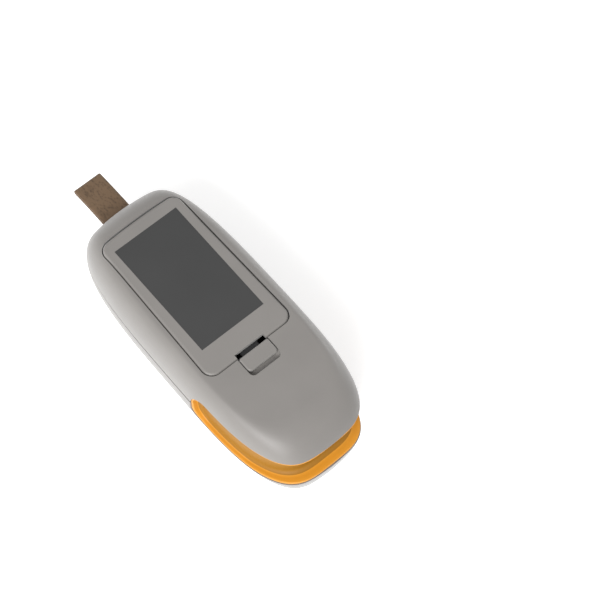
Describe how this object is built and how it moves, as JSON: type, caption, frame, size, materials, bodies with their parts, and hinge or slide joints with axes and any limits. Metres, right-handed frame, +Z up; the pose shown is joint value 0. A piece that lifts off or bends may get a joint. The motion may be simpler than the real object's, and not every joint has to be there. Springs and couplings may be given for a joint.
{
  "type": "hand dynamometer",
  "caption": "Pebble-shaped squeeze hand dynamometer with a flat display lid, an orange flexible mouth between its halves, a resistance knob and a leather strap.",
  "frame": {"origin": "centre of the bounding box at the lowest point of the object as it lies on its knob and tail, display up", "axes": "+Y towards the strap, +Z up, X across the width"},
  "size_m": [0.0602, 0.1634, 0.0666],
  "materials": {
    "shell": "fine matte moulded plastic, warm grey",
    "mark": "dark moulded inlay",
    "boot": "satin orange elastomer",
    "screen": "dark cover glass, satin",
    "panel": "black display module",
    "board": "circuit board with solder mask",
    "frame": "dark glass-filled plastic",
    "steel": "plated steel",
    "spring": "spring wire",
    "brass": "turned brass",
    "beam": "machined aluminium",
    "cell": "plain cell sleeve",
    "leather": "brown vegetable-tanned leather"
  },
  "bodies": {
    "back_half": {"back_shell": "shell", "knob_ring": "shell", "index_marks": "mark", "mouth_boot": "boot", "chassis": "frame", "shell_screws": "steel", "main_board": "board", "hinge_pin": "steel", "strap_bar": "steel", "strap": "leather", "spindle_bush": "brass", "guide_sleeve": "frame", "tension_spring": "spring"},
    "front_half": {"front_shell": "shell", "front_frame": "frame", "frame_screws": "steel", "force_beam": "beam", "beam_screws": "steel", "spring_cup": "steel", "battery_cells": "cell", "battery_contacts": "steel", "latch_spring": "spring", "lid_pin": "steel"},
    "display_lid": {"display_bezel": "shell", "display_glass": "screen", "display_panel": "panel", "display_board": "board", "lid_tray": "frame"},
    "latch": {"latch_tab": "shell", "latch_bolt": "frame"},
    "knob": {"knob_cap": "shell", "knob_index": "mark", "spindle": "steel", "retaining_clip": "steel"},
    "nut": {"tension_nut": "brass"}
  },
  "joints": [
    {"name": "squeeze", "type": "hinge", "parent": "back_half", "child": "front_half", "pos_m": [0, 0.04379, 0.03304], "axis": [1, 0, 0], "range_deg": [0, 0.6], "stiffness_Nm_per_rad": 60, "springref_deg": -0.6, "deforming": ["mouth_boot", "tension_spring"]},
    {"name": "lid_tilt", "type": "hinge", "parent": "front_half", "child": "display_lid", "pos_m": [0, 0.04475, 0.04838], "axis": [-1, 0, 0], "range_deg": [0, 80]},
    {"name": "latch_slide", "type": "slide", "parent": "front_half", "child": "latch", "axis": [0, -0.9882, 0.1531], "range_m": [0, 0.002], "stiffness_N_per_m": 300, "springref_m": -0.002, "deforming": ["latch_spring"]},
    {"name": "knob_turn", "type": "hinge", "parent": "back_half", "child": "knob", "pos_m": [0, -0.06111, 0.0156], "axis": [0, -0.2121, -0.9772], "range_deg": [0, 180]},
    {"name": "nut_slide", "type": "slide", "parent": "back_half", "child": "nut", "axis": [0, -0.2121, -0.9772], "range_m": [0, 0.006], "deforming": ["tension_spring"]}
  ],
  "couplings": [
    {"joint": "nut_slide", "follows": "knob_turn", "m_per_rad": 0.0019}
  ]
}
